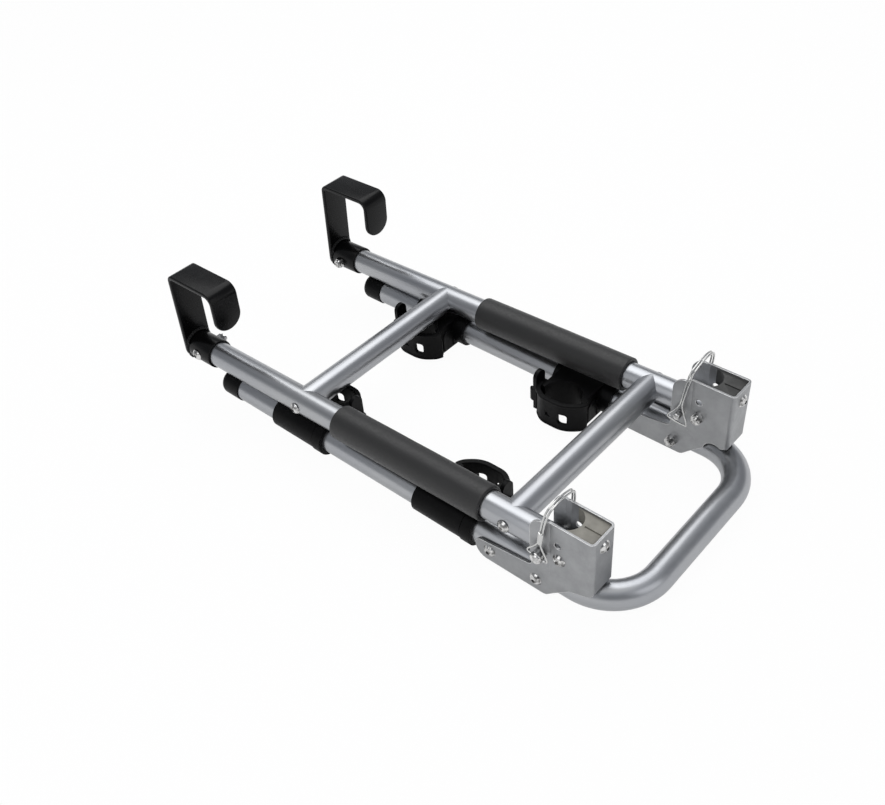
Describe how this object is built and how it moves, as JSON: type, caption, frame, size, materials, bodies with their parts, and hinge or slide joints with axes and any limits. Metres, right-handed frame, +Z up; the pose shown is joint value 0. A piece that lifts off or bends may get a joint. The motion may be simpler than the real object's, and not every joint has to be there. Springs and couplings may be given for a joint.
{
  "type": "ladder bike rack",
  "caption": "Rack that hangs on ladder rungs by two hooks, with fold-out support arms, lock pins with wire bails and swivelling cradles with straps for a bicycle's frame.",
  "frame": {"origin": "middle of the whole rack's box, at its lowest point, with the arms folded", "axes": "+X along the side tubes from the hooks towards the cross piece of the arms, +Y to the side named left, +Z up from the folded arms to the hooks' tops"},
  "size_m": [0.5366, 0.2574, 0.1469],
  "materials": {
    "tube": "satin",
    "sheet": "satin",
    "hook": "semi-gloss",
    "foam": "matt",
    "cap": "satin",
    "cradle": "satin",
    "strap": "satin",
    "seat": "matt",
    "fastener": "polished",
    "wire": "bright"
  },
  "bodies": {
    "rack_frame": {"rail_left": "tube", "rail_right": "tube", "crossbar_upper": "tube", "crossbar_lower": "tube", "foam_left": "foam", "hook_left": "hook", "hook_bolt_left": "fastener", "crossbar_bolt_upper_left": "fastener", "crossbar_bolt_lower_left": "fastener", "foam_right": "foam", "hook_right": "hook", "hook_bolt_right": "fastener", "crossbar_bolt_upper_right": "fastener", "crossbar_bolt_lower_right": "fastener"},
    "support_arms": {"arm_tube": "tube", "cap_left": "cap", "bracket_left": "sheet", "seat_left": "seat", "seat_screw_left": "fastener", "front_bolt_left": "fastener", "rear_bolt_left": "fastener", "pivot_bolt_left": "fastener", "cap_right": "cap", "bracket_right": "sheet", "seat_right": "seat", "seat_screw_right": "fastener", "front_bolt_right": "fastener", "rear_bolt_right": "fastener", "pivot_bolt_right": "fastener"},
    "lock_left": {"lock_pin_left": "fastener", "bail_left": "wire"},
    "lock_right": {"lock_pin_right": "fastener", "bail_right": "wire"},
    "cradle_upper_left_turning": {"cradle_upper_left": "cradle"},
    "strap_upper_left_opening": {"strap_upper_left": "strap"},
    "cradle_upper_right_turning": {"cradle_upper_right": "cradle"},
    "strap_upper_right_opening": {"strap_upper_right": "strap"},
    "cradle_lower_left_turning": {"cradle_lower_left": "cradle"},
    "strap_lower_left_opening": {"strap_lower_left": "strap"},
    "cradle_lower_right_turning": {"cradle_lower_right": "cradle"},
    "strap_lower_right_opening": {"strap_lower_right": "strap"}
  },
  "joints": [
    {"name": "arm_fold", "type": "hinge", "parent": "rack_frame", "child": "support_arms", "pos_m": [0.20343, 0, 0.05499], "axis": [0, -1, 0], "range_deg": [0, 87]},
    {"name": "lock_left_swing", "type": "hinge", "parent": "support_arms", "child": "lock_left", "pos_m": [0.18743, 0.1025, 0.05499], "axis": [0, 1, 0], "range_deg": [0, 27.84]},
    {"name": "lock_right_swing", "type": "hinge", "parent": "support_arms", "child": "lock_right", "pos_m": [0.18743, -0.1025, 0.05499], "axis": [0, 1, 0], "range_deg": [0, 27.84]},
    {"name": "cradle_upper_left_swivel", "type": "hinge", "parent": "support_arms", "child": "cradle_upper_left_turning", "pos_m": [-0.10656, 0.1025, 0.02393], "axis": [0.9996, 0, -0.0279], "range_deg": [0, 90]},
    {"name": "strap_upper_left_open", "type": "hinge", "parent": "cradle_upper_left_turning", "child": "strap_upper_left_opening", "pos_m": [-0.08817, 0.0685, 0.02342], "axis": [0.0279, 0, 0.9996], "range_deg": [0, 65]},
    {"name": "cradle_upper_right_swivel", "type": "hinge", "parent": "support_arms", "child": "cradle_upper_right_turning", "pos_m": [-0.10656, -0.1025, 0.02393], "axis": [-0.9996, 0, 0.0279], "range_deg": [0, 90]},
    {"name": "strap_upper_right_open", "type": "hinge", "parent": "cradle_upper_right_turning", "child": "strap_upper_right_opening", "pos_m": [-0.12495, -0.0685, 0.02445], "axis": [0.0279, 0, 0.9996], "range_deg": [0, 65]},
    {"name": "cradle_lower_left_swivel", "type": "hinge", "parent": "support_arms", "child": "cradle_lower_left_turning", "pos_m": [0.07637, 0.1025, 0.01882], "axis": [0.9996, 0, -0.0279], "range_deg": [0, 90]},
    {"name": "strap_lower_left_open", "type": "hinge", "parent": "cradle_lower_left_turning", "child": "strap_lower_left_opening", "pos_m": [0.09476, 0.0685, 0.01831], "axis": [0.0279, 0, 0.9996], "range_deg": [0, 65]},
    {"name": "cradle_lower_right_swivel", "type": "hinge", "parent": "support_arms", "child": "cradle_lower_right_turning", "pos_m": [0.07637, -0.1025, 0.01882], "axis": [-0.9996, 0, 0.0279], "range_deg": [0, 90]},
    {"name": "strap_lower_right_open", "type": "hinge", "parent": "cradle_lower_right_turning", "child": "strap_lower_right_opening", "pos_m": [0.05797, -0.0685, 0.01934], "axis": [0.0279, 0, 0.9996], "range_deg": [0, 65]}
  ],
  "couplings": [
    {"joint": "lock_left_swing", "follows": "arm_fold", "ratio": 0.32},
    {"joint": "lock_right_swing", "follows": "arm_fold", "ratio": 0.32}
  ]
}
